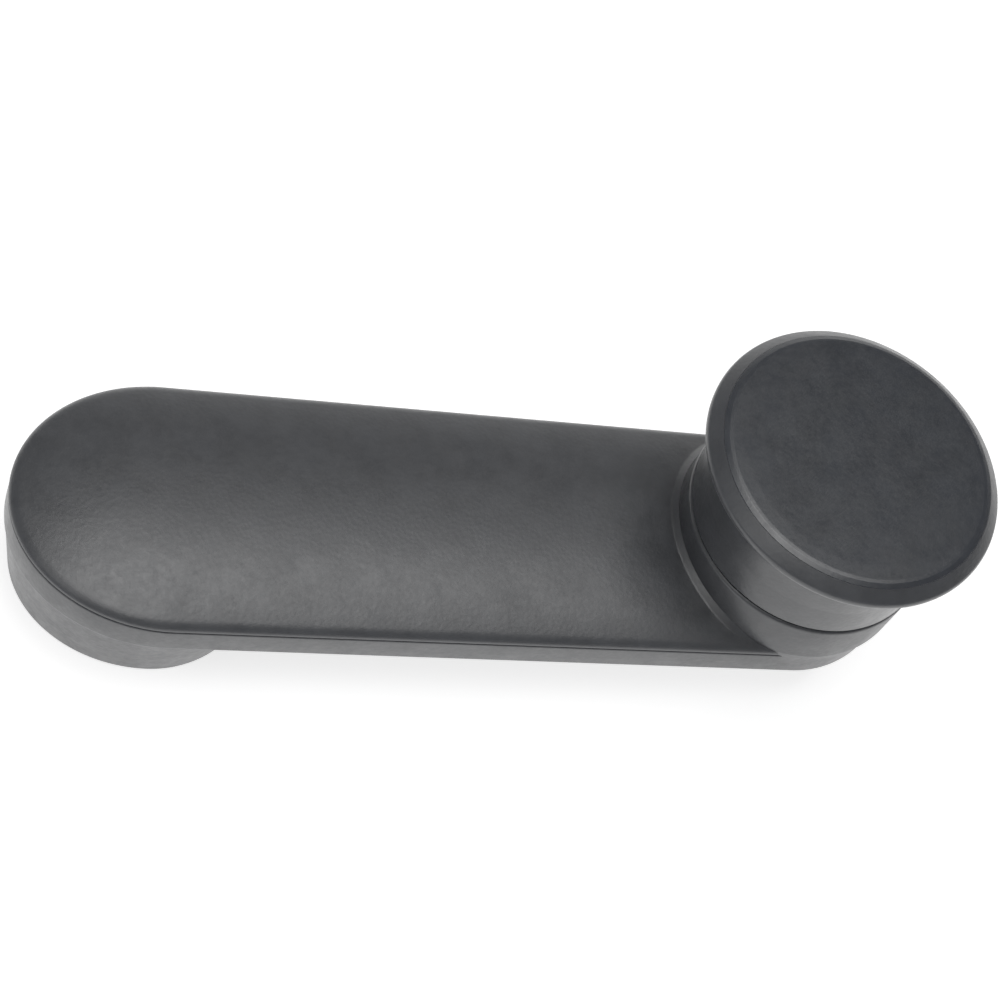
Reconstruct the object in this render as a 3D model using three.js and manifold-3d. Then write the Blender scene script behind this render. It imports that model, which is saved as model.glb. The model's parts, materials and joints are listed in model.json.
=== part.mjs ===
// Window winder handle: a crank arm with a splined hub at one end and a freely turning knob at the other.
// Millimetres. The origin is the centre of the splined socket on the hub's back face, +Z points along the
// hub's axis towards the hand, and +X points along the arm to the knob.

import * as THREE from "three";
import { mergeVertices } from "three/addons/utils/BufferGeometryUtils.js";
import Module from "manifold-3d";

const wasm = await Module();
wasm.setup();

// ---------------------------------------------------------------- driving dimensions

const THROW = 88; // hub axis to knob axis
const HUB_HALF_LENGTH = 20.6;
const HUB_HALF_WIDTH = 18.1;
const END_RADIUS = 17.0; // the arm's round end below the knob
const ARM_UNDERSIDE = 11.05; // height of the arm's underside above the hub's back face
const RIM = 16.35; // top of the housing's side wall, where the cover's shadow gap starts
const COVER_EDGE = 16.85;
const COVER_TOP = 19.6;
const ROLL_WIDTH = 1.2; // the cover's rolled edge
const ROLL_HEIGHT = 0.65;
const COLLAR_RADIUS = 17.45;
const COLLAR_TOP = 24.8;
const NECK_RADIUS = 17.3;
const HEAD_RADIUS = 21.05;
const HEAD_BOTTOM = 39.25; // underside of the knob head's rim
const HEAD_SHOULDER = 40.15; // where the rim's side turns into its sloping shoulder
const CAP_RADIUS = 19.0;
const CAP_EDGE = 41.65;
const KNOB_TOP = 42.2;

const SIDE_INSET = 0.35; // draft of the arm's side walls at their foot
const BOSS_TAPER = 2.4; // how much the hub boss narrows from the arm to its back face
const WALL = 2.2; // side walls of the housing
const FLOOR = 1.6;
const SKIN = 1.7; // thickness of the cover
const KNOB_WALL = 2.3;
const GAP = 0.3; // clearance between pieces that touch in use
const KNOB_GAP = 0.35; // running gap between the collar and the knob's neck
const RUNNING = 0.12; // radial clearance of the bush on its axle
const LIP_START = COLLAR_RADIUS + 1.75; // where the cover starts to turn up round the collar
const LIP_CURVE = 1.9; // radius of that turn

const STRAP_THICKNESS = 2.5;
const STRAP_HALF_WIDTH = 7;
const HUB_EYE_RADIUS = 12.8;
const KNOB_EYE_RADIUS = 11.5;
const STRAP_SCREW_X = [27, 61];
const STRAP_SCREW_RADIUS = 1.8;
const STRAP_SCREW_HEAD = 3.5;

const BUSH_RADIUS = 9.4; // splined bush
const BUSH_NECK_RADIUS = 8.0;
const SOCKET_DEPTH = 8.5;
const SPLINE_TEETH = 18;
const SPLINE_ROOT = 5.3;
const SPLINE_TIP = 4.75;
const COUNTERBORE = 6.3;
const WEB = 1.8; // wall between the splined socket and the screw head's counterbore

const M6 = 3.0;
const AXLE_RADIUS = 4.0; // the knob's shoulder screw
const BOSS_FOOT_RADIUS = 6.2; // threaded boss, below the strap
const BOSS_NECK_RADIUS = 5.6; // and through it
const BOSS_RADIUS = 8.2; // and above it
const BUSH_BODY_RADIUS = 6.0; // the knob's nylon bush
const KNOB_BORE_RADIUS = 6.3;
const KNOB_TUBE_RADIUS = 8.4;

const ROUND = 48; // facets round the large turned pieces
const ROUND_SMALL = 32; // round the small ones
const FACETS_SCREW = 24; // and round the strap screws and their holes

// ---------------------------------------------------------------- heights worked out from them

const STRAP_BOTTOM = ARM_UNDERSIDE + FLOOR + GAP;
const STRAP_TOP = STRAP_BOTTOM + STRAP_THICKNESS;
const BOSS_TOP = COLLAR_TOP + 0.2;
const WAVE_BOTTOM = BOSS_TOP + GAP;
const KNOB_BOTTOM = COLLAR_TOP + KNOB_GAP;
const FLANGE_BOTTOM = WAVE_BOTTOM + 1.2;
const FLANGE_TOP = FLANGE_BOTTOM + 1.4;
const WEB_BOTTOM = FLANGE_TOP + GAP;
const TUBE_TOP = 34.6;
const SCREW_HEAD = TUBE_TOP + 1.6; // underside of the shoulder screw's head
const CAP_SEAT = CAP_EDGE - 1.95;
const WASHER_BOTTOM = SOCKET_DEPTH + WEB + GAP; // the hub screw's flat washer
const WASHER_THICKNESS = 1.0;
const SPRING_BOTTOM = WASHER_BOTTOM + WASHER_THICKNESS + GAP; // and its split washer
const SPRING_HEIGHT = 1.2;
const HUB_SCREW_SEAT = SPRING_BOTTOM + SPRING_HEIGHT + GAP;

// ---------------------------------------------------------------- materials

function plastic(hex, roughness) {
  return new THREE.MeshStandardMaterial({ color: hex, roughness, metalness: 0 });
}

function metal(hex, roughness) {
  return new THREE.MeshStandardMaterial({ color: hex, roughness, metalness: 1 });
}

const charcoal = () => plastic(0x3c3d40, 0.55);
const capCharcoal = () => plastic(0x34363b, 0.5);
const nylon = () => plastic(0xd8d4c8, 0.5);
const zincSteel = () => metal(0xa9adb0, 0.35);
const darkSteel = () => metal(0x6f7275, 0.45);
const springSteel = () => metal(0x55585c, 0.4);

// ---------------------------------------------------------------- making and joining solids

// A closed geometry as a manifold solid, turned right side out if its faces point inwards.
function solid(geometry) {
  const bare = geometry.index ? geometry.toNonIndexed() : geometry.clone();
  bare.deleteAttribute("normal");
  bare.deleteAttribute("uv");
  const merged = mergeVertices(bare, 1e-4);
  const outwards = [];
  const inwards = [];
  for (let i = 0; i < merged.index.count; i += 3) {
    const [a, b, c] = [0, 1, 2].map((k) => merged.index.getX(i + k));
    if (a === b || b === c || c === a) continue;
    outwards.push(a, b, c);
    inwards.push(a, c, b);
  }
  const vertProperties = new Float32Array(merged.attributes.position.array);
  const skin = (triangles) =>
    new wasm.Manifold(new wasm.Mesh({ numProp: 3, vertProperties, triVerts: new Uint32Array(triangles) }));
  const made = skin(outwards);
  return made.volume() > 0 ? made : skin(inwards);
}

// A manifold solid as a geometry with flat normals.
function geometryOf(manifold) {
  const mesh = manifold.getMesh();
  const geometry = new THREE.BufferGeometry();
  geometry.setAttribute("position", new THREE.BufferAttribute(new Float32Array(mesh.vertProperties), 3));
  geometry.setIndex(new THREE.BufferAttribute(new Uint32Array(mesh.triVerts), 1));
  geometry.computeVertexNormals();
  return geometry;
}

// A solid of revolution about a vertical axis through (x, y). The profile is a list of [radius, height]
// that starts and ends on the axis, or closes on itself.
function turned(profile, segments = ROUND, x = 0, y = 0) {
  const points = profile.map(([radius, height]) => new THREE.Vector2(radius, height));
  const geometry = new THREE.LatheGeometry(points, segments);
  geometry.rotateX(Math.PI / 2);
  geometry.translate(x, y, 0);
  return solid(geometry);
}

function disc(radius, bottom, top, segments = ROUND, x = 0, y = 0) {
  return turned([[0, bottom], [radius, bottom], [radius, top], [0, top]], segments, x, y);
}

function ring(inner, outer, bottom, top, segments = ROUND, x = 0, y = 0) {
  const profile = [[inner, bottom], [outer, bottom], [outer, top], [inner, top], [inner, bottom]];
  return turned(profile, segments, x, y);
}

// A prism of a flat shape, from one height to another.
function prism(shape, bottom, top) {
  const geometry = new THREE.ExtrudeGeometry(shape, { depth: top - bottom, bevelEnabled: false });
  geometry.translate(0, 0, bottom);
  return solid(geometry);
}

function box(lengthX, lengthY, bottom, top, x = 0, y = 0) {
  const geometry = new THREE.BoxGeometry(lengthX, lengthY, top - bottom);
  geometry.translate(x, y, (bottom + top) / 2);
  return solid(geometry);
}

// A solid skinned over convex outlines stacked upwards, each a list of [x, y, z] of the same length.
function stacked(outlines) {
  const count = outlines[0].length;
  const positions = outlines.flat(2);
  const index = [];
  for (let level = 0; level + 1 < outlines.length; level += 1) {
    for (let i = 0; i < count; i += 1) {
      const a = level * count + i;
      const b = level * count + ((i + 1) % count);
      index.push(a, b, b + count, a, b + count, a + count);
    }
  }
  const last = (outlines.length - 1) * count;
  for (let i = 1; i + 1 < count; i += 1) {
    index.push(0, i + 1, i);
    index.push(last, last + i, last + i + 1);
  }
  const geometry = new THREE.BufferGeometry();
  geometry.setAttribute("position", new THREE.Float32BufferAttribute(positions, 3));
  geometry.setIndex(index);
  return solid(geometry);
}

// A solid ring skinned over sections that follow one another round a circle, the last joined to the first.
function closedRing(sections) {
  const size = sections[0].length;
  const index = [];
  for (let i = 0; i < sections.length; i += 1) {
    const here = size * i;
    const next = size * ((i + 1) % sections.length);
    for (let k = 0; k < size; k += 1) {
      const j = (k + 1) % size;
      index.push(here + k, here + j, next + j, here + k, next + j, next + k);
    }
  }
  const geometry = new THREE.BufferGeometry();
  geometry.setAttribute("position", new THREE.Float32BufferAttribute(sections.flat(2), 3));
  geometry.setIndex(index);
  return solid(geometry);
}

// ---------------------------------------------------------------- outlines seen from above

const ARC_STEPS = 22;

// The arm's outline, moved outwards by offset: an ellipse round the hub, and an arc round the knob's axis.
function armOutline(offset, height) {
  const points = [];
  for (let i = 0; i <= ARC_STEPS; i += 1) {
    const angle = Math.PI / 2 + (Math.PI * i) / ARC_STEPS;
    const x = (HUB_HALF_LENGTH + offset) * Math.cos(angle);
    points.push([x, (HUB_HALF_WIDTH + offset) * Math.sin(angle), height]);
  }
  for (let i = 0; i <= ARC_STEPS; i += 1) {
    const angle = -Math.PI / 2 + (Math.PI * i) / ARC_STEPS;
    const radius = END_RADIUS + offset;
    points.push([THROW + radius * Math.cos(angle), radius * Math.sin(angle), height]);
  }
  return points;
}

// The arm's outline drawn in towards the line between its two axes: 1 is the full outline, 0 the line.
function crownOutline(share, offset, height) {
  return armOutline(offset, height).map(([x, y]) => {
    const onLine = Math.min(Math.max(x, 0), THROW);
    return [onLine + (x - onLine) * share, y * share, height];
  });
}

// The hub boss's outline: the arm's ellipse on the free side, a half circle on the arm's side.
function bossOutline(offset, height) {
  const points = [];
  for (let i = 0; i < 2 * ARC_STEPS; i += 1) {
    const angle = (Math.PI * i) / ARC_STEPS;
    const reach = Math.cos(angle) < 0 ? HUB_HALF_LENGTH : HUB_HALF_WIDTH;
    points.push([(reach + offset) * Math.cos(angle), (HUB_HALF_WIDTH + offset) * Math.sin(angle), height]);
  }
  return points;
}

// Height of the crowned cover at a share of the half width, 0 on the centre line and 1 at the edge: a
// shallow crown that rolls over in a quarter ellipse at the edge.
function crownHeight(share, edge, top) {
  const inFromEdge = Math.min(((1 - share) * HUB_HALF_WIDTH) / ROLL_WIDTH, 1);
  const roll = ROLL_HEIGHT * Math.sqrt(1 - Math.pow(1 - inFromEdge, 2));
  return edge + roll + (top - edge - ROLL_HEIGHT) * Math.pow(1 - Math.pow(share, 2.2), 0.9);
}

function crownStack(offset, edge, top, shares) {
  return shares.map((share) => crownOutline(share, offset, crownHeight(share, edge, top)));
}

// ---------------------------------------------------------------- housing

// How far the hub boss's side stands in from the arm's outline at a height: it tapers towards its back.
function bossInset(height) {
  return SIDE_INSET + (BOSS_TAPER * (ARM_UNDERSIDE - height)) / ARM_UNDERSIDE;
}

function lowerShell() {
  const arm = stacked([
    armOutline(-SIDE_INSET - 0.6, ARM_UNDERSIDE),
    armOutline(-SIDE_INSET - 0.15, ARM_UNDERSIDE + 0.2),
    armOutline(-SIDE_INSET, ARM_UNDERSIDE + 0.7),
    armOutline(-0.1, RIM - 0.25),
    armOutline(-0.35, RIM),
  ]);
  const hub = stacked([
    bossOutline(-bossInset(0) - 1.0, 0),
    bossOutline(-bossInset(0.3) - 0.35, 0.3),
    bossOutline(-bossInset(1.1), 1.1),
    bossOutline(-SIDE_INSET - 0.1, ARM_UNDERSIDE + 0.7),
  ]);
  const collarBottom = ARM_UNDERSIDE + 1;
  const collar = turned(
    [
      [0, collarBottom],
      [END_RADIUS - 0.7, collarBottom],
      [COLLAR_RADIUS, RIM + 1.2],
      [COLLAR_RADIUS, COLLAR_TOP - 0.5],
      [COLLAR_RADIUS - 0.15, COLLAR_TOP - 0.15],
      [COLLAR_RADIUS - 0.5, COLLAR_TOP],
      [0, COLLAR_TOP],
    ],
    ROUND,
    THROW,
  );
  const floorTop = ARM_UNDERSIDE + FLOOR;
  const pocket = stacked([armOutline(-WALL, floorTop), armOutline(-WALL, RIM + 4)]);
  const pocketUnderCollar = disc(COLLAR_RADIUS - WALL, floorTop, COLLAR_TOP - WALL, ROUND, THROW);
  const keepCollar = disc(COLLAR_RADIUS, RIM, COLLAR_TOP, ROUND, THROW);
  let shell = arm.add(hub).subtract(pocket.subtract(keepCollar)).add(collar);
  shell = shell.subtract(pocketUnderCollar);
  // The strap's way from the arm into the collar.
  const wayLength = 14;
  const wayWidth = 2 * (KNOB_EYE_RADIUS + 0.5);
  shell = shell.subtract(box(wayLength, wayWidth, floorTop, STRAP_TOP + 2 * GAP, THROW - wayLength));
  // Bores for the splined bush and, below and above the strap's other eye, for the threaded boss.
  const bossFootBore = BOSS_FOOT_RADIUS + GAP + 0.1;
  shell = shell.subtract(disc(BUSH_RADIUS + GAP, -1, floorTop + 1, ROUND_SMALL));
  shell = shell.subtract(disc(bossFootBore, ARM_UNDERSIDE - 1, floorTop + 1, ROUND_SMALL, THROW));
  shell = shell.subtract(disc(BOSS_RADIUS + GAP, COLLAR_TOP - 3, COLLAR_TOP + 1, ROUND_SMALL, THROW));
  shell = shell.subtract(hubCoring());
  for (const x of STRAP_SCREW_X) {
    shell = shell.subtract(screwSeat(x));
  }
  for (const leg of coverLegs()) {
    shell = shell.add(legGuide(leg));
  }
  return shell;
}

// The ring shaped pocket moulded into the hub's back, crossed by radial ribs.
function hubCoring() {
  const depth = 9;
  const ribs = 10;
  const ribThickness = 1.3;
  const bushWall = 1.6;
  const inset = bossInset(0) + WALL;
  const outer = stacked([
    bossOutline(-inset, -1),
    bossOutline(-inset, depth - 1),
    bossOutline(-inset - 0.4, depth),
  ]);
  let groove = outer.subtract(disc(BUSH_RADIUS + GAP + bushWall, -2, depth + 1, ROUND_SMALL));
  for (let i = 0; i < ribs; i += 1) {
    const angle = (2 * Math.PI * (i + 0.5)) / ribs;
    const rib = new THREE.BoxGeometry(16, ribThickness, depth + 4);
    rib.translate(14, 0, depth / 2);
    rib.rotateZ(angle);
    groove = groove.subtract(solid(rib));
  }
  return groove;
}

// The conical hole in the floor for a countersunk strap screw.
function screwSeat(x) {
  const top = ARM_UNDERSIDE + FLOOR + 1;
  const mouth = STRAP_SCREW_HEAD + 2 * GAP;
  const throat = STRAP_SCREW_RADIUS + 0.7;
  return turned(
    [
      [0, ARM_UNDERSIDE - 1],
      [mouth, ARM_UNDERSIDE - 1],
      [mouth, ARM_UNDERSIDE + 0.3],
      [throat, ARM_UNDERSIDE + FLOOR],
      [throat, top],
      [0, top],
    ],
    FACETS_SCREW,
    x,
  );
}

// ---------------------------------------------------------------- cover

const LEG = { length: 4, thickness: 1.4 };
const LEG_X = [38, 58];
const LEG_Y = 10.8;

function coverLegs() {
  const legs = [];
  for (const x of LEG_X) {
    for (const side of [-1, 1]) {
      legs.push({ x, y: side * LEG_Y });
    }
  }
  return legs;
}

// The low U shaped guide on the housing's floor that grips one leg of the cover.
function legGuide({ x, y }) {
  const clear = 0.35;
  const wall = 1.2;
  const bottom = ARM_UNDERSIDE + FLOOR - 0.3;
  const top = ARM_UNDERSIDE + FLOOR + 1.2;
  const [slotLength, slotWidth] = [LEG.length + 2 * clear, LEG.thickness + 2 * clear];
  const outer = box(slotLength + 2 * wall, slotWidth + 2 * wall, bottom, top, x, y);
  return outer.subtract(box(slotLength, slotWidth, ARM_UNDERSIDE + FLOOR, top + 1, x, y));
}

// Where a point seen from above lies between the line that joins the two axes, 0, and the outline, 1.
function planShare(x, y) {
  if (x < 0) return Math.hypot(x / HUB_HALF_LENGTH, y / HUB_HALF_WIDTH);
  if (x > THROW) return Math.hypot(x - THROW, y) / END_RADIUS;
  return Math.abs(y) / (HUB_HALF_WIDTH + ((END_RADIUS - HUB_HALF_WIDTH) * x) / THROW);
}

// The ring that turns the cover up round the collar in a small hollow curve. It dies away at the rim.
function collarLip() {
  const steps = 72;
  const [fadeStart, fadeEnd, leastFade] = [0.82, 0.95, 0.03];
  const sinkage = 0.05;
  const foot = -0.7;
  const profile = [[LIP_START + 0.5, foot], [LIP_START + 0.5, -0.15], [LIP_START, 0]];
  for (const run of [0.5, 0.9, 1.2, LIP_START - COLLAR_RADIUS - GAP]) {
    profile.push([LIP_START - run, LIP_CURVE - Math.sqrt(LIP_CURVE * LIP_CURVE - run * run)]);
  }
  profile.push([COLLAR_RADIUS, profile.at(-1)[1]], [COLLAR_RADIUS, foot]);
  const sections = [];
  for (let i = 0; i < steps; i += 1) {
    const angle = (2 * Math.PI * (i + 0.5)) / steps;
    const section = profile.map(([radius, lift]) => {
      const x = THROW + radius * Math.cos(angle);
      const y = radius * Math.sin(angle);
      const share = Math.min(planShare(x, y), 1);
      const fade = Math.max(Math.min(1, (fadeEnd - share) / (fadeEnd - fadeStart)), leastFade);
      const rise = lift * fade - sinkage * (1 - fade);
      return [x, y, crownHeight(share, COVER_EDGE, COVER_TOP) + rise];
    });
    sections.push(section);
  }
  const insideRim = stacked([armOutline(-0.6, 0), armOutline(-0.6, KNOB_TOP)]);
  return closedRing(sections).intersect(insideRim);
}

function topCover() {
  const shares = [1, 0.996, 0.985, 0.965, 0.93, 0.85, 0.72, 0.55, 0.35, 0.15, 0.03];
  const outerSkin = stacked(crownStack(0, COVER_EDGE, COVER_TOP, shares));
  const innerShares = [1, 0.97, 0.92, 0.75, 0.5, 0.05];
  const skirtOuter = -WALL - GAP;
  const skirtInner = skirtOuter - 1.4;
  const innerSkin = stacked([
    armOutline(skirtInner, COVER_EDGE - 3),
    ...crownStack(skirtInner, COVER_EDGE - 0.2, COVER_TOP - SKIN, innerShares),
  ]);
  const skirt = stacked([
    armOutline(skirtOuter - 0.5, RIM - 1.6),
    armOutline(skirtOuter, RIM - 1.2),
    armOutline(skirtOuter, COVER_EDGE + 0.3),
  ]);
  let cover = outerSkin.add(collarLip()).add(skirt).subtract(innerSkin);
  for (const { x, y } of coverLegs()) {
    cover = cover.add(box(LEG.length, LEG.thickness, ARM_UNDERSIDE + FLOOR + 0.4, COVER_TOP - SKIN, x, y));
  }
  const collarClearance = disc(COLLAR_RADIUS + GAP, 0, KNOB_TOP, ROUND, THROW);
  const pastCollar = box(60, 60, 0, KNOB_TOP, THROW + 30, 0);
  return cover.subtract(collarClearance).subtract(pastCollar);
}

// ---------------------------------------------------------------- steel core

// The flat strap that runs from eye to eye, narrower at its waist.
function armCore() {
  const wide = STRAP_HALF_WIDTH + 2;
  const narrow = STRAP_HALF_WIDTH - 1;
  const waist = new THREE.Shape();
  waist.moveTo(0, -wide);
  waist.quadraticCurveTo(THROW / 4, -narrow, THROW / 2, -narrow);
  waist.quadraticCurveTo((THROW * 3) / 4, -narrow, THROW, -wide);
  waist.lineTo(THROW, wide);
  waist.quadraticCurveTo((THROW * 3) / 4, narrow, THROW / 2, narrow);
  waist.quadraticCurveTo(THROW / 4, narrow, 0, wide);
  waist.closePath();
  let strap = prism(waist, STRAP_BOTTOM, STRAP_TOP)
    .add(disc(HUB_EYE_RADIUS, STRAP_BOTTOM, STRAP_TOP, ROUND_SMALL))
    .add(disc(KNOB_EYE_RADIUS, STRAP_BOTTOM, STRAP_TOP, ROUND_SMALL, THROW));
  strap = strap.subtract(disc(BUSH_NECK_RADIUS + GAP, STRAP_BOTTOM - 1, STRAP_TOP + 1, ROUND_SMALL));
  strap = strap.subtract(disc(BOSS_NECK_RADIUS + GAP, STRAP_BOTTOM - 1, STRAP_TOP + 1, ROUND_SMALL, THROW));
  const screwHole = STRAP_SCREW_RADIUS + GAP;
  for (const x of STRAP_SCREW_X) {
    strap = strap.subtract(disc(screwHole, STRAP_BOTTOM - 1, STRAP_TOP + 1, FACETS_SCREW, x));
  }
  return strap;
}

// The splined bush: a socket below, a counterbore for the screw above, and its rim swaged over the strap.
function splineBush() {
  const body = turned(
    [
      [0, 0.2],
      [BUSH_RADIUS - 0.3, 0.2],
      [BUSH_RADIUS, 0.5],
      [BUSH_RADIUS, STRAP_BOTTOM - GAP],
      [BUSH_NECK_RADIUS, STRAP_BOTTOM - GAP],
      [BUSH_NECK_RADIUS, STRAP_TOP + GAP],
      [BUSH_NECK_RADIUS + 0.9, STRAP_TOP + GAP],
      [BUSH_NECK_RADIUS + 0.5, STRAP_TOP + GAP + 0.6],
      [0, STRAP_TOP + GAP + 0.6],
    ],
    ROUND_SMALL,
  );
  const web = SOCKET_DEPTH + WEB;
  return body
    .subtract(prism(splineShape(), -1, SOCKET_DEPTH))
    .subtract(disc(M6 + 0.4, SOCKET_DEPTH - 1, web + 1, FACETS_SCREW))
    .subtract(disc(COUNTERBORE, web, STRAP_TOP + 4, ROUND_SMALL));
}

function splineShape() {
  const corners = [
    [SPLINE_TIP, 0.08],
    [SPLINE_ROOT, 0.28],
    [SPLINE_ROOT, 0.72],
    [SPLINE_TIP, 0.92],
  ];
  const points = [];
  for (let tooth = 0; tooth < SPLINE_TEETH; tooth += 1) {
    for (const [radius, share] of corners) {
      const angle = (2 * Math.PI * (tooth + share)) / SPLINE_TEETH;
      points.push(new THREE.Vector2(radius * Math.cos(angle), radius * Math.sin(angle)));
    }
  }
  return new THREE.Shape(points);
}

// The steel boss swaged into the strap's other eye, tapped for the shoulder screw.
function threadedBoss() {
  const bore = M6 - 0.1;
  return turned(
    [
      [bore, ARM_UNDERSIDE + 0.5],
      [BOSS_FOOT_RADIUS - 0.1, ARM_UNDERSIDE + 0.5],
      [BOSS_FOOT_RADIUS, ARM_UNDERSIDE + 1.1],
      [BOSS_NECK_RADIUS, STRAP_BOTTOM - GAP],
      [BOSS_NECK_RADIUS, STRAP_TOP + GAP],
      [BOSS_RADIUS, STRAP_TOP + GAP],
      [BOSS_RADIUS, BOSS_TOP - 0.3],
      [BOSS_RADIUS - 0.3, BOSS_TOP],
      [bore, BOSS_TOP],
      [bore, ARM_UNDERSIDE + 0.5],
    ],
    ROUND_SMALL,
    THROW,
  );
}

// ---------------------------------------------------------------- screws and washers

// A cross recess: two crossed slots, as a cutter whose mouth is at the given height.
function crossRecess(size, depth, mouth, downwards, x = 0) {
  const far = downwards ? mouth - depth : mouth + depth;
  const bottom = Math.min(mouth, far);
  const top = Math.max(mouth, far);
  const overrun = 0.5;
  const low = downwards ? bottom : bottom - overrun;
  const high = downwards ? top + overrun : top;
  const slot = size * 0.24;
  return box(size, slot, low, high, x).add(box(slot, size, low, high, x));
}

function hubScrew() {
  const seat = HUB_SCREW_SEAT;
  const head = seat + 2.6;
  const tip = seat - 8;
  const screw = turned(
    [
      [0, tip],
      [M6 - 0.7, tip],
      [M6 - 0.1, tip + 0.8],
      [M6 - 0.1, seat],
      [5.4, seat],
      [5.4, seat + 1.2],
      [4.6, head - 0.3],
      [3.4, head],
      [0, head],
    ],
    ROUND_SMALL,
  );
  return screw.subtract(crossRecess(5, 1.6, head, true));
}

function hubWasher() {
  return ring(M6 + 0.3, 5.9, WASHER_BOTTOM, WASHER_BOTTOM + WASHER_THICKNESS, ROUND_SMALL);
}

// A split lock washer: one helical turn of square wire, 12 degrees short of closing.
function hubSpringWasher() {
  const [inner, outer, rise] = [M6 + 0.3, 5.2, 0.4];
  const thickness = SPRING_HEIGHT - rise;
  const steps = 30;
  const sweep = (2 * Math.PI * 348) / 360;
  const sections = [];
  for (let i = 0; i <= steps; i += 1) {
    const angle = (sweep * i) / steps;
    const low = SPRING_BOTTOM + (rise * i) / steps;
    const high = low + thickness;
    const corner = (radius, height) => [radius * Math.cos(angle), radius * Math.sin(angle), height];
    sections.push([corner(inner, low), corner(outer, low), corner(outer, high), corner(inner, high)]);
  }
  return stacked(sections);
}

// The knob's axle: a thread in the boss, a plain shoulder in the bush, and a flat head with a hex socket.
function shoulderScrew() {
  const shank = M6 - 0.4;
  const headRadius = 6.6;
  const headTop = SCREW_HEAD + 1.9;
  const profile = [
    [0, STRAP_BOTTOM],
    [shank - 0.5, STRAP_BOTTOM],
    [shank, STRAP_BOTTOM + 0.8],
    [shank, BOSS_TOP + GAP],
    [AXLE_RADIUS, BOSS_TOP + GAP],
    [AXLE_RADIUS, SCREW_HEAD],
    [headRadius, SCREW_HEAD],
    [headRadius, headTop - 0.5],
    [headRadius - 0.6, headTop],
    [0, headTop],
  ];
  const hexSocket = disc(2.9, SCREW_HEAD + 0.2, headTop + 1, 6, THROW);
  return turned(profile, ROUND_SMALL, THROW).subtract(hexSocket);
}

function headWasher() {
  return ring(AXLE_RADIUS + GAP, 7.6, TUBE_TOP + GAP, SCREW_HEAD - GAP, ROUND_SMALL, THROW);
}

// A thin spring ring with three waves.
function waveWasher() {
  const [inner, outer, thickness, wave] = [AXLE_RADIUS + GAP, 7.4, 0.3, 0.28];
  const steps = 48;
  const middle = WAVE_BOTTOM + wave + 0.02;
  const profile = [
    [inner, 0],
    [outer, 0],
    [outer, thickness],
    [inner, thickness],
  ];
  const sections = [];
  for (let i = 0; i < steps; i += 1) {
    const angle = (2 * Math.PI * i) / steps;
    const [toX, toY] = [Math.cos(angle), Math.sin(angle)];
    const height = middle + wave * Math.cos(3 * angle);
    sections.push(profile.map(([radius, lift]) => [THROW + radius * toX, radius * toY, height + lift]));
  }
  return closedRing(sections);
}

// A countersunk screw driven upwards through the floor into the strap.
function strapScrew(x) {
  const bottom = ARM_UNDERSIDE + 0.1;
  const tip = STRAP_TOP - 0.1;
  const screw = turned(
    [
      [0, bottom],
      [STRAP_SCREW_HEAD, bottom],
      [STRAP_SCREW_HEAD, bottom + 0.3],
      [STRAP_SCREW_RADIUS, ARM_UNDERSIDE + FLOOR + 0.1],
      [STRAP_SCREW_RADIUS, tip - 0.5],
      [STRAP_SCREW_RADIUS - 0.5, tip],
      [0, tip],
    ],
    FACETS_SCREW,
    x,
  );
  return screw.subtract(crossRecess(3.4, 1.1, bottom, false, x));
}

// ---------------------------------------------------------------- knob

function knobShell() {
  const wallInside = NECK_RADIUS - KNOB_WALL;
  const webTop = WEB_BOTTOM + 2;
  const boreTop = TUBE_TOP - 0.6;
  return turned(
    [
      [KNOB_BORE_RADIUS, WEB_BOTTOM],
      [wallInside, WEB_BOTTOM],
      [wallInside, KNOB_BOTTOM],
      [NECK_RADIUS - 0.3, KNOB_BOTTOM],
      [NECK_RADIUS, KNOB_BOTTOM + 0.3],
      [NECK_RADIUS - 0.15, KNOB_BOTTOM + 5],
      [NECK_RADIUS - 0.05, HEAD_BOTTOM - 4.8],
      [NECK_RADIUS + 0.25, HEAD_BOTTOM - 3.0],
      [NECK_RADIUS + 0.7, HEAD_BOTTOM - 1.85],
      [NECK_RADIUS + 1.7, HEAD_BOTTOM - 1.0],
      [HEAD_RADIUS - 0.5, HEAD_BOTTOM - 0.1],
      [HEAD_RADIUS, HEAD_BOTTOM + 0.3],
      [HEAD_RADIUS, HEAD_SHOULDER - 0.3],
      [HEAD_RADIUS - 0.3, HEAD_SHOULDER + 0.2],
      [CAP_RADIUS + GAP, CAP_EDGE - 0.15],
      [CAP_RADIUS + GAP, CAP_SEAT],
      [wallInside, CAP_SEAT],
      [wallInside, webTop],
      [KNOB_TUBE_RADIUS, webTop],
      [KNOB_TUBE_RADIUS, boreTop],
      [KNOB_BORE_RADIUS, boreTop],
      [KNOB_BORE_RADIUS, WEB_BOTTOM],
    ],
    ROUND,
    THROW,
  );
}

function knobBush() {
  const bore = AXLE_RADIUS + RUNNING;
  const flange = 7.8;
  return turned(
    [
      [bore, FLANGE_BOTTOM],
      [flange, FLANGE_BOTTOM],
      [flange, FLANGE_TOP],
      [BUSH_BODY_RADIUS, FLANGE_TOP],
      [BUSH_BODY_RADIUS, TUBE_TOP],
      [bore, TUBE_TOP],
      [bore, FLANGE_BOTTOM],
    ],
    ROUND_SMALL,
    THROW,
  );
}

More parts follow.
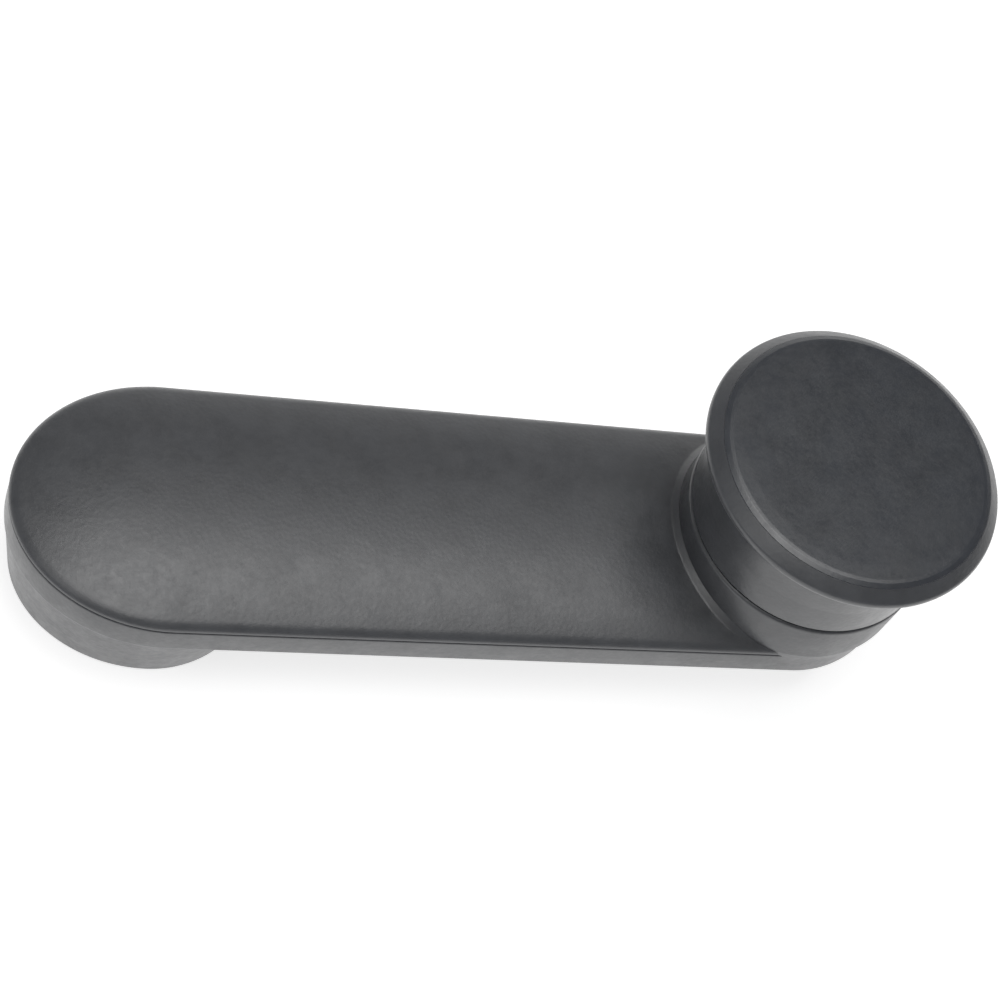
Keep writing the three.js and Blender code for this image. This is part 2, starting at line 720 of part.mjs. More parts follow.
function knobCap() {
  const skirtOuter = NECK_RADIUS - KNOB_WALL - GAP;
  const skirtInner = skirtOuter - 1.4;
  const skirtBottom = CAP_SEAT - 2.2;
  const underside = CAP_SEAT + GAP;
  return turned(
    [
      [0, underside],
      [skirtInner, underside],
      [skirtInner, skirtBottom],
      [skirtOuter - 0.3, skirtBottom],
      [skirtOuter, skirtBottom + 0.6],
      [skirtOuter, underside],
      [CAP_RADIUS, underside],
      [CAP_RADIUS, CAP_EDGE],
      [CAP_RADIUS - 0.3, CAP_EDGE + 0.13],
      [CAP_RADIUS - 0.75, CAP_EDGE + 0.25],
      [CAP_RADIUS - 3.0, CAP_EDGE + 0.4],
      [CAP_RADIUS * 0.4, CAP_EDGE + 0.5],
      [0, KNOB_TOP],
    ],
    ROUND,
    THROW,
  );
}

// ---------------------------------------------------------------- assembly

const group = new THREE.Group();

function piece(name, manifold, material) {
  const mesh = new THREE.Mesh(geometryOf(manifold), material);
  mesh.name = name;
  group.add(mesh);
}

piece("lower_shell", lowerShell(), charcoal());
piece("top_cover", topCover(), charcoal());
piece("arm_core", armCore(), zincSteel());
piece("spline_bush", splineBush(), darkSteel());
piece("hub_washer", hubWasher(), zincSteel());
piece("hub_spring_washer", hubSpringWasher(), springSteel());
piece("hub_screw", hubScrew(), zincSteel());
piece("threaded_boss", threadedBoss(), darkSteel());
piece("strap_screw_hub", strapScrew(STRAP_SCREW_X[0]), darkSteel());
piece("strap_screw_knob", strapScrew(STRAP_SCREW_X[1]), darkSteel());
piece("wave_washer", waveWasher(), springSteel());
piece("shoulder_screw", shoulderScrew(), zincSteel());
piece("head_washer", headWasher(), zincSteel());
piece("knob_bush", knobBush(), nylon());
piece("knob_shell", knobShell(), charcoal());
piece("knob_cap", knobCap(), capCharcoal());

export default group;
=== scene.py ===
import json
import math

import bmesh
import bpy
from mathutils import Matrix, Vector


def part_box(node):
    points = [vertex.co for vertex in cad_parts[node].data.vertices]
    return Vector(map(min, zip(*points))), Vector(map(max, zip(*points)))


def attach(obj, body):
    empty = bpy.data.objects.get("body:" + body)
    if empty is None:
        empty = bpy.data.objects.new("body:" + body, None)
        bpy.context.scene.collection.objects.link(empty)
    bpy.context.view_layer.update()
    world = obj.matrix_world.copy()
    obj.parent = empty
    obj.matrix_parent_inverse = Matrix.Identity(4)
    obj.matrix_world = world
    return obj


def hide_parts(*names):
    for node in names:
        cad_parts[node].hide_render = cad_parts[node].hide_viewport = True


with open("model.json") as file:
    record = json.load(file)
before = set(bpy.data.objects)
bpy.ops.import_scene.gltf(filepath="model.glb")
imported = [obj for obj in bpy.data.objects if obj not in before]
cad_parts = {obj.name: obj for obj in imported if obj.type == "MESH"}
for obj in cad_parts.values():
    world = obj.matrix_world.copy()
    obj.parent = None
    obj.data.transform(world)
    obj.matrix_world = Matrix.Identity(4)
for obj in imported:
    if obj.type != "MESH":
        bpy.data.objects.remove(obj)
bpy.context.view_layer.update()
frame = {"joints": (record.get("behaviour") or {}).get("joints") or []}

# A window winder handle: every CAD node is replaced by a finer mesh of the same size in the same place.
# Shapes are worked in millimetres in the row frame, and scaled to metres when a piece is finished.

MM = 0.001


def corner(node, end, axis):
    """A CAD node's lowest (end 0) or highest (end 1) coordinate on an axis, in millimetres."""
    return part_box(node)[end]["xyz".index(axis)] / MM


# ---------------------------------------------------------------- sizes read from the frame

knob_joint = next(joint for joint in frame["joints"] if joint["name"] == "knob_spin")
THROW = knob_joint["pos_m"][0] / MM
HUB_HALF_LENGTH = -corner("top_cover", 0, "x")
HUB_HALF_WIDTH = corner("top_cover", 1, "y")
COVER_TOP = corner("top_cover", 1, "z")
COLLAR_TOP = corner("lower_shell", 1, "z")
COLLAR_RADIUS = corner("lower_shell", 1, "x") - THROW
HEAD_RADIUS = corner("knob_shell", 1, "y")
KNOB_BOTTOM = corner("knob_shell", 0, "z")
KNOB_TOP = corner("knob_cap", 1, "z")
STRAP_BOTTOM = corner("arm_core", 0, "z")
STRAP_TOP = corner("arm_core", 1, "z")
BOSS_TOP = corner("threaded_boss", 1, "z")
SCREW_TOP = corner("shoulder_screw", 1, "z")
BUSH_BOTTOM = corner("spline_bush", 0, "z")
FLANGE_BOTTOM = corner("knob_bush", 0, "z")
TUBE_TOP = corner("knob_bush", 1, "z")
STRAP_SCREWS = {
    name: (corner(name, 0, "x") + corner(name, 1, "x")) / 2
    for name in ("strap_screw_hub", "strap_screw_knob")
}

# ---------------------------------------------------------------- sizes the frame doesn't state

END_RADIUS = 17.0  # the arm's round end below the knob
ARM_UNDERSIDE = 11.05
RIM = 16.4  # top of the housing's side wall
COVER_EDGE = 16.75
SIDE_INSET = 0.35
BOSS_TAPER = 2.4
ROLL_WIDTH = 1.2  # the cover's rolled edge
ROLL_HEIGHT = 0.65
CROWN_POWER = 2.2  # the crown's section between its middle, flat, and its edge, steep
CROWN_FULLNESS = 0.9
WALL = 2.2
FLOOR = 1.6
FLOOR_TOP = ARM_UNDERSIDE + FLOOR
SKIN = 1.7
GAP = 0.3
FINE_GAP = 0.04  # a gap between visible pieces, closed to a fine line
OVERLAP = 2  # how far the profile of a moulded wall reaches into the body it joins
PAST = 1  # how far a cutter reaches past the face it opens
NECK_RADIUS = 17.3
HEAD_BOTTOM = 39.25  # underside of the knob head's rim
HEAD_SHOULDER = 40.15  # where the rim's side turns into its sloping shoulder
CAP_RADIUS = 19.2
CAP_EDGE = 41.65
CAP_RECESS = 19.23
CAP_SEAT = 39.7
KNOB_WALL = 2.3
KNOB_BORE = 6.3  # round the bush
HUB_EYE_RADIUS = 12.8
KNOB_EYE_RADIUS = 11.5
STRAP_HALF_WIDTH = 7.0
STRAP_EDGE = 1.5  # how far the rounded edge of the strap's skin reaches in
BUSH_RADIUS = 9.4
BUSH_NECK_RADIUS = 8.0
SOCKET_DEPTH = 8.5
SOCKET_WEB = 1.8
SPLINE_TEETH = 18
SPLINE_ROOT = 5.3
SPLINE_TIP = 4.75
COUNTERBORE = 6.3
M6 = 3.0
AXLE_RADIUS = 4.0
BUSH_BORE = AXLE_RADIUS + 0.12
BUSH_TUBE = KNOB_BORE - GAP
BUSH_FLANGE = 7.8
FLANGE_THICKNESS = 1.4
BOSS_HEAD = 8.2  # the threaded boss's radius above the strap
BOSS_NECK = 5.6  # and in the strap's eye
BOSS_FOOT = 6.2  # and where it is swaged over below
AXLE_HEAD = 6.6
STRAP_SCREW_RADIUS = 1.8
STRAP_SCREW_HEAD = 3.5
STRAP_SCREW_PITCH = 0.7
SEAT_MOUTH = 4.1  # the strap screws' countersink in the floor
SEAT_HOLE = 2.5

# ---------------------------------------------------------------- outlines and profiles


def rounded(points, steps=5, closed=False):
    """Turns corners (u, v, fillet radius) into a list of (u, v) with an arc at each filleted corner."""
    made = []
    count = len(points)
    for i, (u, v, fillet) in enumerate(points):
        here = Vector((u, v))
        at_end = not closed and i in (0, count - 1)
        if fillet <= 0 or at_end:
            made.append((u, v))
            continue
        before = Vector(points[i - 1][:2]) - here
        after = Vector(points[(i + 1) % count][:2]) - here
        turn = before.angle(after)
        reach = min(fillet / math.tan(turn / 2), 0.49 * before.length, 0.49 * after.length)
        radius = reach * math.tan(turn / 2)
        bisector = (before.normalized() + after.normalized()).normalized()
        middle = here + bisector * radius / math.sin(turn / 2)
        start = here + before.normalized() * reach - middle
        stop = here + after.normalized() * reach - middle
        sweep = start.angle_signed(stop)
        for step in range(steps + 1):
            angle = -sweep * step / steps
            x = start.x * math.cos(angle) - start.y * math.sin(angle)
            y = start.x * math.sin(angle) + start.y * math.cos(angle)
            made.append((middle.x + x, middle.y + y))
    return made


def between(start, stop, steps):
    return [start + (stop - start) * i / steps for i in range(1, steps)]


def arm_outline(offset, arc_steps=72, straight_steps=24):
    """The arm seen from above, moved outwards by offset: an ellipse round the hub, an arc round the knob."""
    hub_x = HUB_HALF_LENGTH + offset
    hub_y = HUB_HALF_WIDTH + offset
    end_y = END_RADIUS + offset
    points = []
    for i in range(arc_steps + 1):
        angle = math.pi / 2 + math.pi * i / arc_steps
        points.append((hub_x * math.cos(angle), hub_y * math.sin(angle)))
    for x in between(0, THROW, straight_steps):
        points.append((x, -hub_y + (hub_y - end_y) * x / THROW))
    for i in range(arc_steps + 1):
        angle = -math.pi / 2 + math.pi * i / arc_steps
        points.append((THROW + end_y * math.cos(angle), end_y * math.sin(angle)))
    for x in between(THROW, 0, straight_steps):
        points.append((x, hub_y - (hub_y - end_y) * x / THROW))
    return points


def boss_outline(offset, steps=144):
    """The hub boss seen from above: the arm's ellipse on the free side, a half circle on the arm's side."""
    points = []
    for i in range(steps):
        angle = 2 * math.pi * i / steps
        reach = offset + (HUB_HALF_LENGTH if math.cos(angle) < 0 else HUB_HALF_WIDTH)
        points.append((reach * math.cos(angle), (HUB_HALF_WIDTH + offset) * math.sin(angle)))
    return points


def crown_ring(share, offset, height, arc_steps=72, straight_steps=24):
    """The arm's outline drawn in towards the line between its axes: share 1 is the outline, 0 the line."""
    ring = []
    for x, y in arm_outline(offset, arc_steps, straight_steps):
        on_line = min(max(x, 0), THROW)
        ring.append((on_line + (x - on_line) * share, y * share, height))
    return ring


def crown_height(share, edge, top):
    """Height of the crowned cover at a share of its half width: a shallow crown that rolls over at the
    edge."""
    in_from_edge = min((1 - share) * HUB_HALF_WIDTH / ROLL_WIDTH, 1)
    roll = ROLL_HEIGHT * math.sqrt(1 - (1 - in_from_edge) ** 2)
    return edge + roll + (top - edge - ROLL_HEIGHT) * (1 - min(share, 1) ** CROWN_POWER) ** CROWN_FULLNESS


# ---------------------------------------------------------------- mesh making


def finish_mesh(name, made):
    bmesh.ops.remove_doubles(made, verts=made.verts, dist=1e-4)
    bmesh.ops.recalc_face_normals(made, faces=made.faces)
    mesh = bpy.data.meshes.new(name)
    made.to_mesh(mesh)
    made.free()
    piece = bpy.data.objects.new(name, mesh)
    bpy.context.scene.collection.objects.link(piece)
    return piece


def skinned(name, rings, closed_tube=False, cap_last=True):
    """A closed surface through rings of (x, y, z). Its ends are capped, unless the last ring meets the
    first, or has shrunk to a line."""
    made = bmesh.new()
    levels = [[made.verts.new(point) for point in ring] for ring in rings]
    count = len(rings[0])
    pairs = list(zip(levels, levels[1:]))
    if closed_tube:
        pairs.append((levels[-1], levels[0]))
    for low, high in pairs:
        for i in range(count):
            j = (i + 1) % count
            made.faces.new((low[i], low[j], high[j], high[i]))
    if not closed_tube:
        made.faces.new(list(reversed(levels[0])))
        if cap_last:
            made.faces.new(levels[-1])
    return finish_mesh(name, made)


def stacked(name, outline, profile):
    """Skins an outline over a profile of (offset, height)."""
    rings = [[(x, y, height) for x, y in outline(offset)] for offset, height in profile]
    return skinned(name, rings)


def turned(name, profile, x=0.0, segments=128):
    """A solid of revolution about the vertical axis through (x, 0). The profile starts and ends on the
    axis, or closes on itself."""
    made = bmesh.new()
    columns = []
    for radius, height in profile:
        if radius < 1e-6:
            columns.append([made.verts.new((x, 0, height))] * segments)
            continue
        ring = []
        for i in range(segments):
            angle = 2 * math.pi * i / segments
            ring.append(made.verts.new((x + radius * math.cos(angle), radius * math.sin(angle), height)))
        columns.append(ring)
    pairs = list(zip(columns, columns[1:]))
    if profile[0][0] > 1e-6:
        pairs.append((columns[-1], columns[0]))
    for low, high in pairs:
        for i in range(segments):
            j = (i + 1) % segments
            corners = []
            for vertex in (low[i], low[j], high[j], high[i]):
                if vertex not in corners:
                    corners.append(vertex)
            if len(corners) > 2:
                made.faces.new(corners)
    return finish_mesh(name, made)


def block(name, size, centre, turn=0.0):
    """A box used as a cutter or as a moulded leg, turned about the vertical axis after it is placed."""
    made = bmesh.new()
    bmesh.ops.create_cube(made, size=1)
    bmesh.ops.scale(made, vec=size, verts=made.verts)
    bmesh.ops.translate(made, vec=centre, verts=made.verts)
    bmesh.ops.rotate(made, cent=(0, 0, 0), matrix=Matrix.Rotation(turn, 3, "Z"), verts=made.verts)
    return finish_mesh(name, made)


def bake_modifiers(piece):
    graph = bpy.context.evaluated_depsgraph_get()
    mesh = bpy.data.meshes.new_from_object(piece.evaluated_get(graph))
    piece.modifiers.clear()
    old = piece.data
    piece.data = mesh
    bpy.data.meshes.remove(old)


def combine(piece, tools, operation):
    """Joins tools to a piece or cuts them from it, and removes them."""
    for tool in tools:
        step = piece.modifiers.new("combine", "BOOLEAN")
        step.operation = operation
        step.solver = "MANIFOLD"
        step.object = tool
        bake_modifiers(piece)
        bpy.data.objects.remove(tool)
    return piece


def cut(piece, *tools):
    return combine(piece, tools, "DIFFERENCE")


def join(piece, *tools):
    return combine(piece, tools, "UNION")


def thread(name, x, radius, depth, bottom, top, pitch=1.0, segments=40):
    """A screwed rod: a cylinder whose radius follows a helix, plain at both ends."""
    rows = int((top - bottom) / pitch * 8)
    rings = []
    for row in range(rows + 1):
        height = bottom + (top - bottom) * row / rows
        fade = min(1, (height - bottom) / pitch, (top - height) / pitch)
        ring = []
        for i in range(segments):
            phase = (height / pitch - i / segments) % 1
            groove = depth * fade * abs(2 * phase - 1)
            angle = 2 * math.pi * i / segments
            here = radius - groove - 0.5 * depth * (1 - fade)
            ring.append((x + here * math.cos(angle), here * math.sin(angle), height))
        rings.append(ring)
    return skinned(name, rings)


# ---------------------------------------------------------------- housing


def boss_inset(height):
    """How far the hub boss's side stands in from the arm's outline: it tapers towards its back."""
    return SIDE_INSET + BOSS_TAPER * (ARM_UNDERSIDE - height) / ARM_UNDERSIDE


def lower_shell():
    side = [
        (-SIDE_INSET - OVERLAP, ARM_UNDERSIDE, 0),
        (-SIDE_INSET, ARM_UNDERSIDE, 0.8),
        (-0.1, RIM, 0.3),
        (-1.2, RIM, 0),
    ]
    shell = stacked("lower_shell_skin", arm_outline, rounded(side))
    boss = [
        (-boss_inset(0) - OVERLAP, 0, 0),
        (-boss_inset(0), 0, 0.9),
        (-SIDE_INSET - 0.1, ARM_UNDERSIDE + 0.7, 0),
    ]
    join(shell, stacked("boss", boss_outline, rounded(boss)))
    inside = [(-WALL, FLOOR_TOP), (-WALL, RIM + 4)]
    pocket = stacked("pocket", lambda offset: arm_outline(offset, 48, 4), inside)
    cut(pocket, disc("keep", COLLAR_RADIUS - 0.02, RIM - 4, COLLAR_TOP + 9, THROW))
    cut(shell, pocket)
    collar_bottom = ARM_UNDERSIDE + 1
    collar = [
        (0, collar_bottom, 0),
        (END_RADIUS - 0.7, collar_bottom, 0),
        (COLLAR_RADIUS, RIM + 1.2, 1.5),
        (COLLAR_RADIUS, COLLAR_TOP, 0.55),
        (0, COLLAR_TOP, 0),
    ]
    join(shell, turned("collar", rounded(collar), THROW, 144))
    cut(shell, disc("hollow", COLLAR_RADIUS - WALL, FLOOR_TOP, COLLAR_TOP - WALL, THROW))
    way_width = 2 * (KNOB_EYE_RADIUS + 0.5)  # the strap's way in through the collar's wall
    way_top = STRAP_TOP + 0.6
    way_length = 14
    cut(shell, block("way", (way_length, way_width, way_top - FLOOR_TOP),
                     (THROW - way_length, 0, (way_top + FLOOR_TOP) / 2)))
    cut(shell, disc("bush_bore", BUSH_RADIUS + GAP, -PAST, FLOOR_TOP + PAST))
    cut(shell, disc("boss_hole", BOSS_FOOT + 0.4, ARM_UNDERSIDE - PAST, FLOOR_TOP + PAST, THROW))
    cut(shell, disc("collar_hole", BOSS_HEAD + GAP, COLLAR_TOP - 3, COLLAR_TOP + PAST, THROW))
    cut(shell, hub_coring())
    for x in STRAP_SCREWS.values():
        seat = [
            (0, ARM_UNDERSIDE - PAST),
            (SEAT_MOUTH, ARM_UNDERSIDE - PAST),
            (SEAT_MOUTH, ARM_UNDERSIDE + 0.3),
            (SEAT_HOLE, FLOOR_TOP),
            (SEAT_HOLE, FLOOR_TOP + PAST),
            (0, FLOOR_TOP + PAST),
        ]
        cut(shell, turned("seat", seat, x, 48))
    for leg in LEGS:
        join(shell, leg_guide(leg))
    return shell


def disc(name, radius, bottom, top, x=0.0, segments=96):
    return turned(name, [(0, bottom), (radius, bottom), (radius, top), (0, top)], x, segments)


def hub_coring():
    """The ring shaped pocket moulded into the hub's back, crossed by radial ribs, as one cutter."""
    depth = 9.0
    sleeve_wall = 1.6
    ribs = 10
    rib_thickness = 1.3
    rib_length = 16
    rib_middle = 14
    inset = boss_inset(0) + 2.1
    groove = stacked("coring", boss_outline, [(-inset, -PAST), (-inset, depth - 1), (-inset - 0.4, depth)])
    cut(groove, disc("sleeve", BUSH_RADIUS + GAP + sleeve_wall, -2 * PAST, depth + PAST))
    for i in range(ribs):
        turn = 2 * math.pi * (i + 0.5) / ribs
        rib = (rib_length, rib_thickness, depth + 4 * PAST)
        cut(groove, block("rib", rib, (rib_middle, 0, depth / 2), turn))
    return groove


# ---------------------------------------------------------------- cover

LEG_LENGTH = 4.0
LEG_THICKNESS = 1.4
LEG_OFFSET = 10.8  # either side of the arm's middle
LEG_PLACES = (38, 58)  # along the arm
LEGS = [(x, side * LEG_OFFSET) for x in LEG_PLACES for side in (-1, 1)]
LIP_START = COLLAR_RADIUS + 1.25  # where the cover starts to turn up round the collar
FADE_START = 0.8  # shares of the half width between which that turn dies away
FADE_END = 0.955
CROWN_EDGE = COVER_EDGE + 0.2  # where the crown leaves the cover's side

# shares of the half width where the crown has a ring of points, dense along its rolled edge
CROWN_SHARES = (
    1, 0.9995, 0.998, 0.9955, 0.992, 0.987, 0.98, 0.971, 0.96, 0.948, 0.934, 0.92, 0.9, 0.87, 0.84, 0.8,
    0.76, 0.71, 0.65, 0.58, 0.5, 0.42, 0.33, 0.24, 0.15, 0.07, 0,
)
UNDERSIDE_SHARES = (1, 0.96, 0.9, 0.82, 0.72, 0.6, 0.45, 0.25, 0.05)


def leg_guide(leg):
    """The moulded frame on the floor that one of the cover's legs drops into."""
    clear = 0.35
    wall = 1.2
    height = 1.5
    x, y = leg
    length = LEG_LENGTH + 2 * clear
    width = LEG_THICKNESS + 2 * clear
    root = 0.3  # sunk in the floor
    outside = (length + 2 * wall, width + 2 * wall, height)
    guide = block("guide", outside, (x, y, FLOOR_TOP - root + height / 2))
    cut(guide, block("slot", (length, width, height), (x, y, FLOOR_TOP + height / 2)))
    return guide


def plan_share(x, y):
    """Where a point of the plan lies between the line that joins the axes, 0, and the arm's outline, 1."""
    if x < 0:
        return math.hypot(x / HUB_HALF_LENGTH, y / HUB_HALF_WIDTH)
    if x > THROW:
        return math.hypot(x - THROW, y) / END_RADIUS
    return abs(y) / (HUB_HALF_WIDTH + (END_RADIUS - HUB_HALF_WIDTH) * x / THROW)


def collar_lip(name):
    """A ring that turns the cover up round the collar in a small hollow curve."""
    rings = []
    steps = 120
    inner = COLLAR_RADIUS
    outer = LIP_START + 0.5
    foot = LIP_START - 0.3
    ramp = 0.6  # slope of the turned up part
    root = -0.8  # the ring's underside, below the cover's surface
    least_fade = 0.03
    sinkage = 0.05  # how far the ring goes below that surface where it has died away
    curve = rounded([(outer, -0.03, 0), (foot, 0, 0.9), (inner, ramp * (foot - inner), 0)], 8)
    section = curve + [(inner, root), (outer, root)]
    for i in range(steps):
        angle = 2 * math.pi * i / steps
        ring = []
        for radius, lift in section:
            x = THROW + radius * math.cos(angle)
            y = radius * math.sin(angle)
            share = min(plan_share(x, y), 1)
            fade = max(min(1, (FADE_END - share) / (FADE_END - FADE_START)), least_fade)
            fade = fade * fade * (3 - 2 * fade)
            crown = crown_height(share, CROWN_EDGE, COVER_TOP)
            ring.append((x, y, crown + lift * fade - sinkage * (1 - fade)))
        rings.append(ring)
    lip = skinned(name, rings, closed_tube=True)
    inside_rim = stacked("inside_rim", arm_outline, [(-0.6, 0), (-0.6, KNOB_TOP)])
    return combine(lip, [inside_rim], "INTERSECT")


def top_cover():
    rings = []
    for offset, rise in ((-0.5, 0), (-0.22, 0.03), (-0.07, 0.1)):
        rings.append([(x, y, COVER_EDGE + rise) for x, y in arm_outline(offset)])
    for share in CROWN_SHARES:
        rings.append(crown_ring(share, 0, crown_height(share, CROWN_EDGE, COVER_TOP)))
    cover = skinned("top_cover_skin", rings, cap_last=False)
    join(cover, collar_lip("collar_lip"))
    skirt_face = -WALL - GAP
    skirt_bottom = RIM - 1.6
    skirt_thickness = 1.4
    skirt = [
        (skirt_face - OVERLAP, skirt_bottom, 0),
        (skirt_face, skirt_bottom, 0.4),
        (skirt_face, COVER_EDGE + 0.3, 0),
    ]
    join(cover, stacked("skirt", lambda offset: arm_outline(offset, 48, 8), rounded(skirt, 3)))
    inner = skirt_face - skirt_thickness
    inside = [[(x, y, COVER_EDGE - 3) for x, y in arm_outline(inner, 48, 8)]]
    for share in UNDERSIDE_SHARES:
        height = crown_height(share, COVER_EDGE - 0.2, COVER_TOP - SKIN)
        inside.append(crown_ring(share, inner, height, 48, 8))
    cut(cover, skinned("inside", inside))
    leg_bottom = FLOOR_TOP + 0.4
    height = COVER_TOP - SKIN - leg_bottom
    for x, y in LEGS:
        join(cover, block("leg", (LEG_LENGTH, LEG_THICKNESS, height), (x, y, leg_bottom + height / 2)))
    cut(cover, disc("round_collar", COLLAR_RADIUS + FINE_GAP, 0, KNOB_TOP, THROW, 144))
    beyond = 60  # a block that clears everything on the knob's far side
    cut(cover, block("past_collar", (beyond, beyond, beyond), (THROW + beyond / 2, 0, 20)))
    return cover


# ---------------------------------------------------------------- steel core


def arm_core():
    """A stamped strap with an eye at each end."""

    def outline(offset, steps=150):
        start, stop = -HUB_EYE_RADIUS - offset, THROW + KNOB_EYE_RADIUS + offset
        edge = []
        for i in range(steps + 1):
            x = (start + stop) / 2 - (stop - start) / 2 * math.cos(math.pi * i / steps)
            half = 0.0
            for radius, middle in ((HUB_EYE_RADIUS, 0), (KNOB_EYE_RADIUS, THROW)):
                half = max(half, math.sqrt(max((radius + offset) ** 2 - (x - middle) ** 2, 0)))
            if 0 < x < THROW:
                half = max(half, STRAP_HALF_WIDTH - 1 + 3 * (2 * x / THROW - 1) ** 2 + offset)
            edge.append((x, half))
        return [(x, -half) for x, half in edge] + [(x, half) for x, half in reversed(edge[1:-1])]

    side = [
        (-STRAP_EDGE, STRAP_BOTTOM, 0),
        (0, STRAP_BOTTOM, 0.2),
        (0, STRAP_TOP, 0.3),
        (-STRAP_EDGE, STRAP_TOP, 0),
    ]
    strap = stacked("arm_core_skin", outline, rounded(side, 3))
    below, above = STRAP_BOTTOM - PAST, STRAP_TOP + PAST
    cut(strap, disc("bush_hole", BUSH_NECK_RADIUS + GAP, below, above))
    cut(strap, disc("boss_hole", BOSS_NECK + GAP, below, above, THROW))
    for x in STRAP_SCREWS.values():
        cut(strap, disc("screw_hole", STRAP_SCREW_RADIUS + GAP, below, above, x, 40))
    return strap


def spline_outline(offset):
    """The socket seen along its axis: straight sided teeth."""
    points = []
    tooth_points = (
        (SPLINE_TIP, 0.08),
        (SPLINE_ROOT, 0.28),
        (SPLINE_ROOT, 0.5),
        (SPLINE_ROOT, 0.72),
        (SPLINE_TIP, 0.92),
    )
    for tooth in range(SPLINE_TEETH):
        for radius, share in tooth_points:
            angle = 2 * math.pi * (tooth + share) / SPLINE_TEETH
            points.append(((radius + offset) * math.cos(angle), (radius + offset) * math.sin(angle)))
    return points


def spline_bush():
    seat = STRAP_BOTTOM - GAP
    swage = STRAP_TOP + GAP
    body = [
        (0, BUSH_BOTTOM, 0),
        (BUSH_RADIUS, BUSH_BOTTOM, 0.35),
        (BUSH_RADIUS, seat, 0.15),
        (BUSH_NECK_RADIUS, seat, 0.1),
        (BUSH_NECK_RADIUS, swage, 0.1),
        (BUSH_NECK_RADIUS + 0.9, swage, 0.2),
        (BUSH_NECK_RADIUS + 0.5, swage + 0.6, 0.25),
        (0, swage + 0.6, 0),
    ]
    bush = turned("spline_bush_skin", rounded(body, 4), 0)
    web_top = SOCKET_DEPTH + SOCKET_WEB
    cut(bush, stacked("socket", spline_outline, [(0, -PAST), (0, SOCKET_DEPTH)]))
    lead_in_top = BUSH_BOTTOM + 0.75
    lead_in = [(0, -PAST), (SPLINE_ROOT + 0.9, -PAST), (SPLINE_TIP, lead_in_top), (0, lead_in_top)]
    cut(bush, turned("lead_in", lead_in, 0))
    cut(bush, disc("clearance", M6 + 0.4, SOCKET_DEPTH - PAST, web_top + PAST, 0, 64))
    counterbore = [
        (0, web_top, 0),
        (COUNTERBORE, web_top, 0.3),
        (COUNTERBORE, swage + 0.3, 0),
        (COUNTERBORE + 0.5, swage + 0.8, 0),
        (0, swage + 0.8, 0),
    ]
    cut(bush, turned("counterbore", rounded(counterbore, 3), 0))
    return bush


def threaded_boss():
    bore = M6 - 0.1
    foot = ARM_UNDERSIDE + 0.5
    body = [
        (bore + 0.5, foot, 0),
        (BOSS_FOOT - 0.1, foot, 0.15),
        (BOSS_FOOT, foot + 0.6, 0.15),
        (BOSS_NECK, STRAP_BOTTOM - GAP, 0),
        (BOSS_NECK, STRAP_TOP + GAP, 0),
        (BOSS_HEAD, STRAP_TOP + GAP, 0.2),
        (BOSS_HEAD, BOSS_TOP, 0.35),
        (bore + 0.5, BOSS_TOP, 0),
        (bore, BOSS_TOP - 0.5, 0),
    ]
    pitch = 1.0
    turns = int((BOSS_TOP - foot - 1) / pitch)
    for i in range(turns):
        crest = BOSS_TOP - 0.9 - i * pitch
        body += [(bore, crest, 0), (bore + 0.4, crest - 0.5 * pitch, 0)]
    body += [(bore, foot + 0.5, 0)]
    return turned("threaded_boss_skin", rounded(body, 4), THROW, 72)


# ---------------------------------------------------------------- screws and washers


def cross_recess(size, depth, mouth, direction, x=0.0):
    """A tapered cross, as a cutter. direction is 1 for a recess cut upwards and -1 for one cut downwards."""
    arms = []
    for turn in (0, math.pi / 2):
        rings = []
        for level, scale in ((-0.4, 1.0), (0.0, 1.0), (0.6, 0.8), (1.0, 0.45)):
            half_length = size / 2 * scale
            half_width = size * 0.12 * (0.6 + 0.4 * scale)
            height = mouth + direction * depth * level
            corners = [(-half_length, -half_width), (half_length, -half_width),
                       (half_length, half_width), (-half_length, half_width)]
            ring = []
            for u, v in corners:
                ring.append((x + u * math.cos(turn) - v * math.sin(turn),
                             u * math.sin(turn) + v * math.cos(turn), height))
            rings.append(ring)
        arms.append(skinned("recess", rings))
    return join(arms[0], arms[1])


def hub_screw():
    seat = corner("hub_spring_washer", 1, "z") + GAP
    head = corner("hub_screw", 1, "z")
    foot = corner("hub_screw", 0, "z")
    shank = M6 - 0.1
    head_radius = 5.4
    body = [
        (0, seat - 0.6, 0),
        (shank, seat - 0.6, 0),
        (shank, seat, 0),
        (head_radius, seat, 0.2),
        (head_radius, seat + 1.1, 0.5),
        (head_radius - 1.1, head - 0.1, 0.6),
        (0, head, 0),
    ]
    screw = turned("hub_screw_skin", rounded(body), 0, 96)
    join(screw, thread("thread", 0, shank, 0.55, foot, seat - 0.3))
    return cut(screw, cross_recess(5.0, 1.7, head, -1))


def washer(name, inner, outer, bottom, top, x=0.0):
    """A punched washer: its upper edge is rounded by the punch and its lower edge is nearly sharp."""
    ring = [(inner, bottom, 0.05), (outer, bottom, 0.08), (outer, top, 0.25), (inner, top, 0.12)]
    return turned(name, rounded(ring, 3, closed=True), x, 96)


def hub_washer():
    low, high = corner("hub_washer", 0, "z"), corner("hub_washer", 1, "z")
    return washer("hub_washer_skin", M6 + 0.3, corner("hub_washer", 1, "y"), low, high)


def ring_section(inner, outer, thickness, fillet, steps):
    """The rounded rectangle that a sprung washer's wire or strip has in section."""
    corners = [(inner, 0), (outer, 0), (outer, thickness), (inner, thickness)]
    return rounded([(u, v, fillet) for u, v in corners], steps, closed=True)


